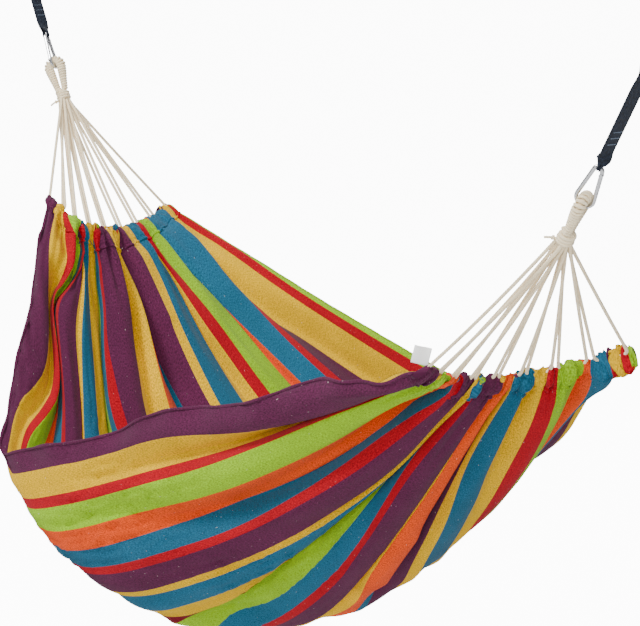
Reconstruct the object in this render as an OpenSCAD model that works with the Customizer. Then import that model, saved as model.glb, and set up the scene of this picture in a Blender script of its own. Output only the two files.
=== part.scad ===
// Striped cloth hammock on cord fans, hung from two webbing straps by snap hooks.
// The left end is at -X and the right end at +X. Y runs from the slack near edge of the
// cloth to its taut far edge. The origin is the centre of the left strap's anchor eye.

/* [Hang] */
// Distance between the two anchor eyes
anchor_span = 2580; // [2400:10:2700]
// Horizontal reach of one strap, hook and rope eye
link_run = 240; // [200:5:280]
// Height from the top of the cords up to the anchor eye
link_rise = 355; // [320:5:400]

/* [Cloth] */
// Thickness of the cloth solid
cloth_t = 3; // [2:0.5:5]
// Width of the folded and stitched side edges
selvedge_w = 7; // [5:1:10]
// Outer diameter of the folded end hems
hem_d = 20; // [16:1:24]
// Roundness of the turn where the near edge is drawn out
turn_round = 0.12; // [0.08:0.01:0.3]
// Side of the blank care label
label_w = 34; // [25:1:45]

/* [Cords] */
// Diameter of each cotton cord
cord_d = 6; // [5:0.5:6]
// Cord loops at each end, two legs to a loop
loops = 8; // [8:1:8]

/* [Rope eye] */
// Diameter of the whipped rope at the top of the eye
eye_d = 24; // [20:1:24]
// Diameter of the bare cord bundle inside the whipping
core_d = 15; // [12:1:16]
// Bend radius of the rope's centre line over the hook
eye_bend = 17; // [17:0.5:20]
// Diameter of the binding round both legs of the eye
throat_d = 34; // [32:1:40]
// Length of that binding
throat_len = 28; // [20:1:30]

/* [Snap hook] */
// Diameter of the hook's steel rod
rod_d = 8; // [7:0.5:8]
// Bend radius of the wide bow
bow_r = 17; // [17:0.5:20]
// Bend radius of the narrow bow
top_r = 8; // [8:0.5:9]
// Distance between the centres of the two bows
bow_gap = 65; // [60:1:70]
// Diameter of the gate's hinge pin
pin_d = 2.5; // [2:0.1:3]
// Turn of the left hook about the line of pull
left_turn = 131; // [90:1:150]
// Turn of the right hook about the line of pull
right_turn = 34; // [0:1:60]

/* [Strap] */
// Width of the webbing
strap_w = 22; // [20:1:30]
// Thickness of one ply of webbing
ply_t = 2.4; // [2:0.1:3]
// Bore of the sewn anchor eye
anchor_bore = 20; // [16:1:24]

/* [Hidden] */
$fn = 48;
EPS = 0.01;
LEFT = -1;
RIGHT = 1;

link_len = norm([link_run, link_rise]);
lean = atan2(link_run, link_rise);
fan_x = anchor_span / 2 - link_run;

// The cloth's shape, from the midpoint between the two cord fans' tops.
// Each end hem is a curve from the near corner, past a control point, to the far corner.
left_near = [-720, -200, -170];
left_dip = [-490, -180, -290];
left_far = [-995, 255, -280];
right_near = [780, -115, -275];
right_dip = [610, 80, -390];
right_far = [870, 300, -270];
// The cross-section halfway along, from the near edge to the far edge.
mid_near = [-290, -490, -670];
mid_low_near = [215, -505, -1095];
mid_low_far = [240, 245, -1110];
mid_far = [125, 465, -540];
// How squarely each lengthwise thread hangs, and where along it the lowest point lies.
near_power = 0.8;
low_power = 1.25;
far_power = 1.15;
near_skew = 0.17;
far_skew = -0.07;
// Grid of the cloth solid, and where it starts below each hem
cloth_rows = 36;
cloth_columns = 24;
hem_setback = 0.012;

cord_r = cord_d / 2;
notch = 0.012;
bundle_pitch = 1.7;
bundle_row = 5.9;

rod_r = rod_d / 2;
eye_r = eye_d / 2;
core_r = core_d / 2;
leg_r = 8.3;
leg_core_r = 5.5;
leg_x = 8.5;
wire_z = 95;
bow_z = wire_z + bow_r;
hook_top_z = bow_z + bow_gap + top_r;

// The hook's straight sides lean in by this angle.
side_lean = asin((bow_r - top_r) / bow_gap);
side_len = sqrt(bow_gap * bow_gap - pow(bow_r - top_r, 2));
pin_s = 7;
gate_s = 45;
tongue_t = 3;
slot_t = 3.6;
slot_len = 5.6;
nose_len = 8;
bore_r = 2.4;
bore_len = 22;
spring_r = 1.7;
spring_wire_r = 0.35;
spring_turns = 6;
plunger_r = 1.6;
plunger_len = 4;

strap_gap = 7;
eye_neck = 30;
loop_w = 7;

function bend2(a, b, c, t) = (1 - t) * (1 - t) * a + 2 * t * (1 - t) * b + t * t * c;
function bend3(a, b, c, d, t) =
  pow(1 - t, 3) * a + 3 * t * pow(1 - t, 2) * b + 3 * t * t * (1 - t) * c + pow(t, 3) * d;
function unit(v) = v / norm(v);
function mix(a, b, t) = a * (1 - t) + b * t;

// A point of the end hem, v = 0 at the near corner and 1 at the far corner
function hem_point(side, v) = side == LEFT
  ? bend2(left_near, left_dip, left_far, v)
  : bend2(right_near, right_dip, right_far, v);
function middle(v) = bend3(mid_near, mid_low_near, mid_low_far, mid_far, v);
function power(v) = bend2(near_power, 2 * low_power - (near_power + far_power) / 2, far_power, v);
function skew(v) = near_skew * (1 - v) + far_skew * pow(v, 3);
function rounded(t) = (sqrt(t * t + turn_round * turn_round) - turn_round)
  / (sqrt(1 + turn_round * turn_round) - turn_round);
// 0 at the hems and 1 halfway along: the share of the sag at u
function sag(u, v) = 1 - pow(rounded(2 * (u + skew(v) * u * (1 - u)) - 1), power(v));
// A point of the cloth, u from the left hem to the right, v from the near edge to the far edge
function cloth(u, v) = let(l = hem_point(LEFT, v), r = hem_point(RIGHT, v))
  mix(l, r, u) + sag(u, v) * (middle(v) - (l + r) / 2);

// The line of pull at each end runs from the top of the cords up to the anchor eye.
function pull(side) = [side * sin(lean), 0, cos(lean)];
function across(side) = [cos(lean), 0, -side * sin(lean)];
function fan_top(side, p) = [side * fan_x, 0, 0] + p[0] * across(side) + [0, p[1], 0]
  + p[2] * pull(side);

// Where cord leg i leaves the binding: four staggered rows make a round bundle.
function bundle_row_of(side, i) = (side == LEFT ? [3, 0, 2, 1] : [0, 3, 1, 2])[i % 4];
function leg_start(side, i) = fan_top(side,
  [(bundle_row_of(side, i) - 1.5) * bundle_row, (i - loops + 0.5) * bundle_pitch, 0]);
function leg_end(side, i) = let(k = floor(i / 2))
  hem_point(side, i % 2 == 0 ? k / loops + notch : (k + 1) / loops - notch);

// Points round one bend of a path, from a to b to c
function round_bend(a, b, c, reach) = let(p = b + reach * unit(a - b), q = b + reach * unit(c - b))
  [for (t = [0 : 0.25 : 1]) bend2(p, b, q, t)];

// Sweeps a round section along points. up keeps the section from twisting.
function heading(path, i) = unit(path[min(i + 1, len(path) - 1)] - path[max(i - 1, 0)]);
function ring(path, i, r, sides, up) = let(
  t = heading(path, i), n = unit(up - (up * t) * t), b = cross(t, n))
  [for (k = [0 : sides - 1]) path[i] + r * (cos(360 * k / sides) * n + sin(360 * k / sides) * b)];
// A quad as two triangles, because a quad on a curved skin isn't flat
function halves(a, b, c, d) = [[a, b, c], [a, c, d]];
function wall(rings, sides, start, flip) = [for (i = [0 : rings - 2], k = [0 : sides - 1])
  let(a = start + i * sides + k, b = start + i * sides + (k + 1) % sides)
  each flip ? halves(a, b, b + sides, a + sides) : halves(a, a + sides, b + sides, b)];

module tube(path, radii, sides, up) {
  count = len(path);
  points = [for (i = [0 : count - 1]) each ring(path, i, radii[i], sides, up)];
  caps = [[for (k = [0 : sides - 1]) k], [for (k = [sides - 1 : -1 : 0]) (count - 1) * sides + k]];
  polyhedron(points, concat(wall(count, sides, 0, false), caps), convexity = 6);
}

module hollow_tube(path, radii, inner, sides, up) {
  count = len(path);
  offset_in = count * sides;
  points = concat(
    [for (i = [0 : count - 1]) each ring(path, i, radii[i], sides, up)],
    [for (i = [0 : count - 1]) each ring(path, i, inner[i], sides, up)]);
  last = (count - 1) * sides;
  start_rim = [for (k = [0 : sides - 1]) let(m = (k + 1) % sides)
    [k, m, offset_in + m, offset_in + k]];
  end_rim = [for (k = [0 : sides - 1]) let(m = (k + 1) % sides)
    [last + m, last + k, offset_in + last + k, offset_in + last + m]];
  faces = concat(wall(count, sides, 0, false), wall(count, sides, offset_in, true),
    start_rim, end_rim);
  polyhedron(points, faces, convexity = 8);
}

// Places the hammock so that the left anchor eye is at the origin.
module hung() translate([anchor_span / 2, 0, -link_rise]) children();

// The line of pull as local +Z, from the top of the cords
module on_pull(side) hung() translate([side * fan_x, 0, 0]) rotate([0, side * lean, 0]) children();

// The hook's own plane: local X points at the gate, the wide bow's centre is the origin.
module on_hook(side) on_pull(side) translate([0, 0, bow_z]) rotate(turn_of(side)) children();
function turn_of(side) = side == LEFT ? left_turn : right_turn;

// The gate's line: local +Z runs down from the narrow bow's tangent point.
module on_gate_line() translate([top_r * cos(side_lean), 0, bow_gap + top_r * sin(side_lean)])
  rotate([0, 180 - side_lean, 0]) children();

// ---- Webbing ----

module anchor_eye(side) color("midnightblue") on_pull(side) translate([0, 0, link_len])
  difference() {
    union() {
      rotate([90, 0, 0]) cylinder(d = anchor_bore + 2 * ply_t, h = strap_w, center = true);
      translate([-ply_t, -strap_w / 2, -anchor_bore / 2 - eye_neck]) cube([2 * ply_t, strap_w, eye_neck]);
    }
    rotate([90, 0, 0]) cylinder(d = anchor_bore, h = strap_w + 1, center = true);
  }

module strap(side) color("midnightblue") on_pull(side) {
  top = link_len - anchor_bore / 2 - eye_neck - strap_gap;
  neck = hook_top_z + rod_r + 2 * ply_t;
  difference() {
    union() {
      translate([-ply_t, -strap_w / 2, neck + 30]) cube([2 * ply_t, strap_w, top - neck - 30]);
      hull() {
        translate([-ply_t, -strap_w / 2, neck + 30]) cube([2 * ply_t, strap_w, EPS]);
        translate([0, 0, hook_top_z + rod_r + ply_t / 2]) rotate(turn_of(side))
          cube([loop_w, 2 * (rod_r + ply_t), EPS], center = true);
      }
      translate([0, 0, hook_top_z]) rotate(turn_of(side)) rotate([0, 90, 0])
        cylinder(r = rod_r + 1 + ply_t, h = loop_w, center = true);
    }
    translate([0, 0, hook_top_z]) rotate(turn_of(side)) rotate([0, 90, 0])
      cylinder(r = rod_r + 0.3, h = strap_w + 10, center = true);
  }
}

// Three bar tacks on each face, just above the loop
module strap_stitching(side) color("lightsteelblue") on_pull(side)
  for (z = [0 : 2], face = [-1, 1])
    translate([face * (ply_t + 0.4), 0, hook_top_z + 55 + 14 * z])
      cube([0.6, strap_w - 5, 1.6], center = true);

// ---- Snap hook ----

// The rod's centre line, from the nose down round the wide bow and up to the hinge
function arc(centre, radius, from, to, steps) = [for (i = [0 : steps])
  let(a = from + (to - from) * i / steps) centre + radius * [cos(a), 0, sin(a)]];
hook_path = concat(
  [[top_r * cos(side_lean) + (gate_s + 0.4) * sin(side_lean), 0,
    bow_gap + top_r * sin(side_lean) - (gate_s + 0.4) * cos(side_lean)]],
  arc([0, 0, 0], bow_r, side_lean, -180 - side_lean, 16),
  arc([0, 0, bow_gap], top_r, 180 - side_lean, side_lean, 12),
  [[top_r * cos(side_lean) + (pin_s - rod_r - 0.7) * sin(side_lean), 0,
    bow_gap + top_r * sin(side_lean) - (pin_s - rod_r - 0.7) * cos(side_lean)]]);

module hook(side) color("lightgray") on_hook(side) {
  tube(hook_path, [for (p = hook_path) rod_r], 16, [0, 1, 0]);
  // Nose
  on_gate_line() translate([-rod_r * 0.7, -tongue_t / 2, gate_s - nose_len])
    cube([rod_r * 1.4, tongue_t, nose_len + 2]);
  // Hinge tongue
  on_gate_line() difference() {
    union() {
      translate([-rod_r * 0.9, -tongue_t / 2, 0.5]) cube([1.8 * rod_r, tongue_t, pin_s - 0.5]);
      translate([0, 0, pin_s]) rotate([90, 0, 0])
        cylinder(r = rod_r * 0.9, h = tongue_t, center = true);
    }
    translate([0, 0, pin_s]) rotate([90, 0, 0])
      cylinder(d = pin_d + 0.1, h = tongue_t + 1, center = true);
  }
}

module gate(side) color("silver") on_hook(side) on_gate_line() difference() {
  union() {
    translate([0, 0, pin_s]) cylinder(r = rod_r, h = gate_s - pin_s);
    translate([0, 0, pin_s]) rotate([90, 0, 0]) cylinder(r = rod_r, h = 2 * rod_r - 1, center = true);
  }
  // Fork over the hinge tongue, and the slot that takes the nose
  translate([-rod_r - 1, -slot_t / 2, pin_s - rod_r - 1])
    cube([2 * rod_r + 2, slot_t, rod_r + 1 + slot_len]);
  translate([-rod_r - 1, -slot_t / 2, gate_s - nose_len - 0.6])
    cube([2 * rod_r + 2, slot_t, nose_len + 2]);
  // Pin hole and spring bore
  translate([0, 0, pin_s]) rotate([90, 0, 0]) cylinder(d = pin_d + 0.1, h = 2 * rod_r + 1, center = true);
  translate([0, 0, pin_s + slot_len - 1]) cylinder(r = bore_r, h = bore_len - slot_len);
}

module gate_pin(side) color("gray") on_hook(side) on_gate_line() translate([0, 0, pin_s])
  rotate([90, 0, 0]) cylinder(d = pin_d, h = 2 * rod_r - 0.6, center = true);

module gate_plunger(side) color("gray") on_hook(side) on_gate_line()
  translate([0, 0, pin_s + rod_r + 0.2]) cylinder(r = plunger_r, h = plunger_len);

module gate_spring(side) {
  from = pin_s + rod_r + plunger_len + 0.7;
  length = bore_len - rod_r - plunger_len - 2;
  steps = spring_turns * 8;
  path = [for (i = [0 : steps]) [spring_r * cos(45 * i), spring_r * sin(45 * i),
    from + length * i / steps]];
  color("gray") on_hook(side) on_gate_line()
    tube(path, [for (i = [0 : steps]) spring_wire_r], 6, [0, 0, 1]);
}

// ---- Rope eye and its whipping ----

// The rope's centre line up one leg, over the hook and down the other leg
eye_foot = throat_len + 1.5;
leg_steps = [0 : 0.2 : 0.8];
eye_path = concat(
  [for (t = leg_steps) [mix(leg_x, eye_bend, t), 0, mix(eye_foot, wire_z, t)]],
  [for (a = [0 : 20 : 180]) [eye_bend * cos(a), 0, wire_z + eye_bend * sin(a)]],
  [for (t = leg_steps) let(s = 0.8 - t) [-mix(leg_x, eye_bend, s), 0, mix(eye_foot, wire_z, s)]]);
// The rope is thinner where its two legs run together.
function eye_radii(thin, thick) = concat(
  [for (t = leg_steps) mix(thin, thick, t)],
  [for (a = [0 : 20 : 180]) thick],
  [for (t = leg_steps) mix(thin, thick, 0.8 - t)]);

module on_eye(side) on_pull(side) rotate(turn_of(side) - 90) children();

// The bare bundle runs on down into the binding.
module eye_core(side) color("antiquewhite") on_eye(side)
  tube(concat([[leg_x, 0, 1]], eye_path, [[-leg_x, 0, 1]]),
    concat([leg_core_r], eye_radii(leg_core_r, core_r), [leg_core_r]), 12, [0, 1, 0]);

module eye_whipping(side) color("ivory") on_eye(side)
  hollow_tube(eye_path, eye_radii(leg_r, eye_r), eye_radii(leg_core_r + 0.4, core_r + 0.4),
    16, [0, 1, 0]);

module throat_whipping(side) color("ivory") on_eye(side) difference() {
  cylinder(d = throat_d, h = throat_len);
  for (s = [-1, 1]) translate([s * leg_x, 0, 0.5]) cylinder(r = leg_core_r + 0.3, h = throat_len);
}

// The whipping's knotted end sticks out on the near side of the binding.
knot_path = [[-4.1, 0, 0], [-3, 0, 0], [-1, 0, 0], [1, 0, 0], [3, 0, -0.4], [4.3, 0, -0.8],
  [8, 0, -2], [12, 0, -3.6], [15, 0, -5.5]];
knot_radii = [1.2, 3.1, 4.2, 4.2, 3.2, 2.5, 2.5, 2.5, 2.5];
module whipping_tail(side) color("ivory") on_pull(side) rotate(235)
  translate([throat_d / 2 + 4.5, 0, 6]) tube(knot_path, knot_radii, 12, [0, 1, 0]);

// ---- Cord fans ----

module cord(side, k) {
  top_a = leg_start(side, 2 * k);
  top_b = leg_start(side, 2 * k + 1);
  hem_a = leg_end(side, 2 * k);
  hem_b = leg_end(side, 2 * k + 1);
  path = concat(
    [for (t = [0 : 0.2 : 0.8]) mix(top_a, hem_a, t)],
    round_bend(top_a, hem_a, hem_b, 5),
    round_bend(hem_a, hem_b, top_b, 5),
    [for (t = [0.8 : -0.2 : 0]) mix(top_b, hem_b, t)]);
  color("antiquewhite") hung()
    tube(path, [for (p = path) cord_r], 8, cross(hem_a - top_a, hem_b - hem_a));
}

// ---- Cloth ----

module rod(a, b, r) {
  d = b - a;
  translate(a) rotate([0, acos(d[2] / norm(d)), atan2(d[1], d[0])]) cylinder(r = r, h = norm(d));
}

// The folded hem is a short channel on each cord loop, open at its notches.
module end_hem(side) color("indianred") hung() for (k = [0 : loops - 1]) {
  a = leg_end(side, 2 * k);
  b = leg_end(side, 2 * k + 1);
  along = unit(b - a);
  difference() {
    rod(a + 5 * along, b - 5 * along, hem_d / 2);
    rod(a, b, cord_r + 0.6);
  }
}

function cloth_u(i) = hem_setback + (1 - 2 * hem_setback) * i / cloth_rows;
function cloth_normal(u, v) = let(
  along = cloth(min(u + 0.01, 1), v) - cloth(max(u - 0.01, 0), v),
  aside = cloth(u, min(v + 0.01, 1)) - cloth(u, max(v - 0.01, 0)))
  unit(cross(along, aside));

module bed_cloth() {
  rows = cloth_rows + 1;
  columns = cloth_columns + 1;
  sheet = rows * columns;
  points = [for (face = [-1, 1], i = [0 : cloth_rows], j = [0 : cloth_columns])
    let(u = cloth_u(i), v = j / cloth_columns) cloth(u, v) + face * cloth_t / 2 * cloth_normal(u, v)];
  lower = [for (i = [0 : rows - 2], j = [0 : columns - 2]) let(a = i * columns + j)
    each halves(a, a + 1, a + columns + 1, a + columns)];
  upper = [for (i = [0 : rows - 2], j = [0 : columns - 2]) let(a = sheet + i * columns + j)
    each halves(a + columns + 1, a + 1, a, a + columns)];
  rim = concat(
    [for (j = [0 : columns - 1]) j],
    [for (i = [1 : rows - 1]) i * columns + columns - 1],
    [for (j = [columns - 2 : -1 : 0]) (rows - 1) * columns + j],
    [for (i = [rows - 2 : -1 : 1]) i * columns]);
  edge = [for (k = [0 : len(rim) - 1]) let(a = rim[k], b = rim[(k + 1) % len(rim)])
    each halves(b, a, a + sheet, b + sheet)];
  color("goldenrod") hung() polyhedron(points, concat(lower, upper, edge), convexity = 6);
}

// The folded side edges lie just outside the cloth's long sides.
module selvedge(v, inward) {
  path = [for (i = [0 : cloth_rows]) let(u = cloth_u(i), p = cloth(u, v),
    out = unit(p - cloth(u, inward))) p + (selvedge_w / 2 + 0.4) * out];
  hung() tube(path, [for (p = path) selvedge_w / 2], 8, [0, 0.6, 0.8]);
}

module near_selvedge() color("purple") selvedge(0, 0.02);
module far_selvedge() color("yellowgreen") selvedge(1, 0.98);

module care_label() color("white") hung()
  translate(right_near + [-35, 12, 10]) rotate([0, 0, -35]) cube([label_w, 0.8, label_w]);

anchor_eye(LEFT);  // left_anchor_eye
strap(LEFT);  // left_strap
strap_stitching(LEFT);  // left_strap_stitching
hook(LEFT);  // left_hook
gate(LEFT);  // left_gate
gate_pin(LEFT);  // left_gate_pin
gate_spring(LEFT);  // left_gate_spring
gate_plunger(LEFT);  // left_gate_plunger
eye_core(LEFT);  // left_eye_core
eye_whipping(LEFT);  // left_eye_whipping
throat_whipping(LEFT);  // left_throat_whipping
whipping_tail(LEFT);  // left_whipping_tail
end_hem(LEFT);  // left_end_hem
cord(LEFT, 0);  // left_cord_1
cord(LEFT, 1);  // left_cord_2
cord(LEFT, 2);  // left_cord_3
cord(LEFT, 3);  // left_cord_4
cord(LEFT, 4);  // left_cord_5
cord(LEFT, 5);  // left_cord_6
cord(LEFT, 6);  // left_cord_7
cord(LEFT, 7);  // left_cord_8
anchor_eye(RIGHT);  // right_anchor_eye
strap(RIGHT);  // right_strap
strap_stitching(RIGHT);  // right_strap_stitching
hook(RIGHT);  // right_hook
gate(RIGHT);  // right_gate
gate_pin(RIGHT);  // right_gate_pin
gate_spring(RIGHT);  // right_gate_spring
gate_plunger(RIGHT);  // right_gate_plunger
eye_core(RIGHT);  // right_eye_core
eye_whipping(RIGHT);  // right_eye_whipping
throat_whipping(RIGHT);  // right_throat_whipping
whipping_tail(RIGHT);  // right_whipping_tail
end_hem(RIGHT);  // right_end_hem
cord(RIGHT, 0);  // right_cord_1
cord(RIGHT, 1);  // right_cord_2
cord(RIGHT, 2);  // right_cord_3
cord(RIGHT, 3);  // right_cord_4
cord(RIGHT, 4);  // right_cord_5
cord(RIGHT, 5);  // right_cord_6
cord(RIGHT, 6);  // right_cord_7
cord(RIGHT, 7);  // right_cord_8
bed_cloth();
near_selvedge();
far_selvedge();
care_label();
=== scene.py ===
# %% [markdown]
# # A striped cotton hammock
#
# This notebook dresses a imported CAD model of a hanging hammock. The CAD nodes give the frame: where the
# two anchor eyes are, how the cloth hangs, and what swings. Each step below makes one piece of the real
# thing in that same frame, in metres: twisted cords, a whipped rope eye, woven straps, and the cloth
# itself with its stripes, gathers and folds.

# %% Load the frame
import math

import bpy
import numpy as np
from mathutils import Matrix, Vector
from numpy.linalg import norm


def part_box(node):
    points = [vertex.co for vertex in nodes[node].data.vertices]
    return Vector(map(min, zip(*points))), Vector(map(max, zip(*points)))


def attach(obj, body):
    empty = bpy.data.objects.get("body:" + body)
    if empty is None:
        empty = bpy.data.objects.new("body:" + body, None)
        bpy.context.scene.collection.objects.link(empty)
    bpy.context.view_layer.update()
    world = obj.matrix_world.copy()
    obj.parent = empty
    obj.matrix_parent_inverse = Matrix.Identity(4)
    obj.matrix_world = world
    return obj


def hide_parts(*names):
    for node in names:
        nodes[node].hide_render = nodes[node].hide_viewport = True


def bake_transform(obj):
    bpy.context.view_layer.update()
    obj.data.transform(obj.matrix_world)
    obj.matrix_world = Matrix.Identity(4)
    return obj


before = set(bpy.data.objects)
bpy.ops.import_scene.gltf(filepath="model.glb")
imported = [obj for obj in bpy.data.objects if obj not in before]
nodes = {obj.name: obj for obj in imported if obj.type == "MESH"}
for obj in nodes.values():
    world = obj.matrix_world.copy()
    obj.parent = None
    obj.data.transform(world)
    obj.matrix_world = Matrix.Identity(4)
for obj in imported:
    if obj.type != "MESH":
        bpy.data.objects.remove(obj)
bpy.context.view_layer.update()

LEFT, RIGHT = -1, 1
TAU = 2 * math.pi
SIDES = {LEFT: "left", RIGHT: "right"}
for obj in bpy.context.selected_objects:
    obj.select_set(False)

# %% [markdown]
# ## Camera, light and floor
#
# The hammock hangs in a plain white room. A long lens from the front right, a little above the cloth,
# looks down its length. One soft source stands in front and above, a weaker one beside the camera and
# a faint one behind. Soft light suits cotton: it shows folds by gentle shading, not by hard shadows.

# %% Camera
camera_data = bpy.data.cameras.new("camera")
camera_data.lens = 146.25
camera_data.sensor_width = 36
camera_data.clip_end = 60
camera = bpy.data.objects.new("camera", camera_data)
camera.location = (6.05, -2.68, 0.545)
camera.rotation_euler = (math.radians(90 - 12.7), 0, math.radians(59.6))
bpy.context.scene.collection.objects.link(camera)
bpy.context.scene.camera = camera
print("camera", tuple(camera.location))


# %% Lights
def area_light(name, place, size, watts, aim=(1.29, 0.0, -0.9)):
    """A soft square light that faces the middle of the cloth."""
    data = bpy.data.lights.new(name, "AREA")
    data.size = size
    data.energy = watts
    light = bpy.data.objects.new(name, data)
    light.location = place
    light.rotation_euler = (Vector(aim) - Vector(place)).to_track_quat("-Z", "Y").to_euler()
    bpy.context.scene.collection.objects.link(light)
    print(name, watts, "W")


area_light("key_light", (0.6, -2.6, 3.2), 1.2, 250)
area_light("fill_light", (5.2, -2.2, 1.6), 2.2, 160)
area_light("back_light", (-1.2, 2.8, 1.8), 2.0, 60)

# %% [markdown]
# A Light Path node lets the room look white to the camera and still light the hammock gently: its own
# light is only a ramp, darker below and brighter above. The floor, made below, glows for the camera alone.

# %% White room
SEEN_WHITE = 11.0
world = bpy.data.worlds.new("pale_room")
bpy.context.scene.world = world
world.use_nodes = True
background = world.node_tree.nodes["Background"]
background.inputs["Color"].default_value = (1.0, 1.0, 1.0, 1)
seen, room, height, walls, place = (world.node_tree.nodes.new("ShaderNode" + kind) for kind in
                                    ("LightPath", "MapRange", "SeparateXYZ", "ValToRGB", "TexCoord"))
walls.color_ramp.elements[0].color = (0.10, 0.10, 0.10, 1)
walls.color_ramp.elements[1].color = (0.85, 0.85, 0.85, 1)
room.inputs["To Max"].default_value = SEEN_WHITE
for source, target in ((place.outputs["Generated"], height.inputs["Vector"]),
                       (height.outputs["Z"], walls.inputs["Fac"]),
                       (walls.outputs["Color"], room.inputs["To Min"]),
                       (seen.outputs["Is Camera Ray"], room.inputs["Value"]),
                       (room.outputs["Result"], background.inputs["Strength"])):
    world.node_tree.links.new(source, target)
print("room", world.name)

# %% [markdown]
# ## How it hangs
#
# Both anchor eyes are level and 2.58 m apart. From each one a strap, a hook and a rope eye run down one
# straight line of pull to the top of a fan of cords. These few numbers are the CAD model's own, in
# metres, so every piece made from them falls where the CAD solid is.

# %% Lines of pull
ANCHOR_SPAN = 2.58
LINK_RUN = 0.24
LINK_RISE = 0.355
LINK = math.hypot(LINK_RUN, LINK_RISE)
LEAN = math.atan2(LINK_RUN, LINK_RISE)
TURN = {LEFT: math.radians(131), RIGHT: math.radians(34)}
HOOK_TOP_Z = 0.185
ROD_R = 0.004
hang = np.array([ANCHOR_SPAN / 2, 0, -LINK_RISE])
Y_AXIS = np.array([0.0, 1.0, 0.0])


def pull(side):
    """Up the line of pull."""
    return np.array([side * math.sin(LEAN), 0, math.cos(LEAN)])


def across(side):
    """Square to the line of pull, in the plane of both anchors."""
    return np.array([math.cos(LEAN), 0, -side * math.sin(LEAN)])


def on_pull(side, points):
    """Points given as across, sideways and along the line of pull, from the top of the cords."""
    points = np.asarray(points, float)
    top = hang + np.array([side * (ANCHOR_SPAN / 2 - LINK_RUN), 0, 0])
    return (top + points[..., :1] * across(side) + points[..., 1:2] * Y_AXIS
            + points[..., 2:] * pull(side))


def turned(points, angle):
    """Points turned about their own Z."""
    points = np.asarray(points, float)
    c, s = math.cos(angle), math.sin(angle)
    x, y, z = points[..., 0], points[..., 1], points[..., 2]
    return np.stack([c * x - s * y, s * x + c * y, z], -1)


print("link", round(LINK, 4), "lean", round(math.degrees(LEAN), 2))

# %% [markdown]
# ## Materials
#
# Cotton is matt, so each cotton finish has a high roughness, a little sheen from loose fibres, and fine
# bumps from its weave or twist. The patterns follow each piece's own UV map, which is laid out in
# metres along and across it, so the weave stays the same size all over and moves with the piece.


# %% Material helpers
class Finish:
    """A new material with short ways to add and join its nodes."""

    def __init__(self, name):
        self.material = bpy.data.materials.new(name)
        self.material.use_nodes = True
        self.tree = self.material.node_tree
        self.shader = self.tree.nodes["Principled BSDF"]

    def set(self, node=None, **inputs):
        for name, value in inputs.items():
            (node or self.shader).inputs[name.replace("_", " ")].default_value = value

    def node(self, kind, **inputs):
        made = self.tree.nodes.new(kind)
        self.set(made, **inputs)
        return made

    def join(self, source, target):
        self.tree.links.new(source, target)

    def uv(self, scale):
        """The piece's UV map, in metres, times scale along each way."""
        source = self.tree.nodes.new("ShaderNodeUVMap")
        mapping = self.node("ShaderNodeMapping", Scale=scale)
        self.join(source.outputs["UV"], mapping.inputs["Vector"])
        return mapping.outputs["Vector"]

    def noise(self, vector, scale, detail=2.0):
        made = self.node("ShaderNodeTexNoise", Scale=scale, Detail=detail)
        self.join(vector, made.inputs["Vector"])
        return made.outputs["Fac"]

    def ramp(self, factor, *stops):
        """Colours at their positions, from two stops up."""
        made = self.tree.nodes.new("ShaderNodeValToRGB")
        ramp = made.color_ramp
        ramp.elements[0].position, ramp.elements[0].color = stops[0]
        ramp.elements[1].position, ramp.elements[1].color = stops[-1]
        for position, color in stops[1:-1]:
            ramp.elements.new(position).color = color
        self.join(factor, made.inputs["Fac"])
        return made.outputs["Color"]

    def feed(self, *pairs):
        """Gives each socket its value, or joins it to the socket that the value comes from."""
        for value, socket in pairs:
            if isinstance(value, bpy.types.NodeSocket):
                self.join(value, socket)
            else:
                socket.default_value = value

    def mix(self, kind, factor, a, b):
        made = self.tree.nodes.new("ShaderNodeMix")
        made.data_type = "RGBA"
        made.blend_type = kind
        self.feed((factor, made.inputs[0]), (a, made.inputs[6]), (b, made.inputs[7]))
        return made.outputs[2]

    def math(self, kind, a, b):
        made = self.tree.nodes.new("ShaderNodeMath")
        made.operation = kind
        self.feed((a, made.inputs[0]), (b, made.inputs[1]))
        return made.outputs[0]

    def wave(self, vector, scale, direction):
        made = self.node("ShaderNodeTexWave", Scale=scale)
        made.bands_direction = direction
        self.join(vector, made.inputs["Vector"])
        return made.outputs["Fac"]

    def bump(self, height, distance, strength=1.0):
        made = self.node("ShaderNodeBump", Distance=distance, Strength=strength)
        self.join(height, made.inputs["Height"])
        self.join(made.outputs["Normal"], self.shader.inputs["Normal"])


def grey(value):
    return (value, value, value, 1.0)


print("material helpers")

# %% Floor
bpy.ops.mesh.primitive_plane_add(size=60, location=(1.29, 0, -1.9))
floor = bpy.context.object
floor.name = "floor"
floor_paint = Finish("floor_paint")
floor_paint.set(Base_Color=(0.93, 0.93, 0.93, 1), Roughness=0.9, Emission_Color=(1, 1, 1, 1))
seen = floor_paint.node("ShaderNodeLightPath").outputs["Is Camera Ray"]
glow = floor_paint.math("MULTIPLY", seen, SEEN_WHITE)
floor_paint.join(glow, floor_paint.shader.inputs["Emission Strength"])
floor.data.materials.append(floor_paint.material)
floor.select_set(False)
print("floor", floor.name)


# %% [markdown]
# The cloth's yarn is spun from several shades, so each stripe is broken up by short flecks along the
# threads. The stripe's own dye comes from the mesh, so one finish serves the whole cloth: the flecks
# and a slow change of shade multiply it, and a few pale neps, which are knots of fibre, lie on top.

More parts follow.
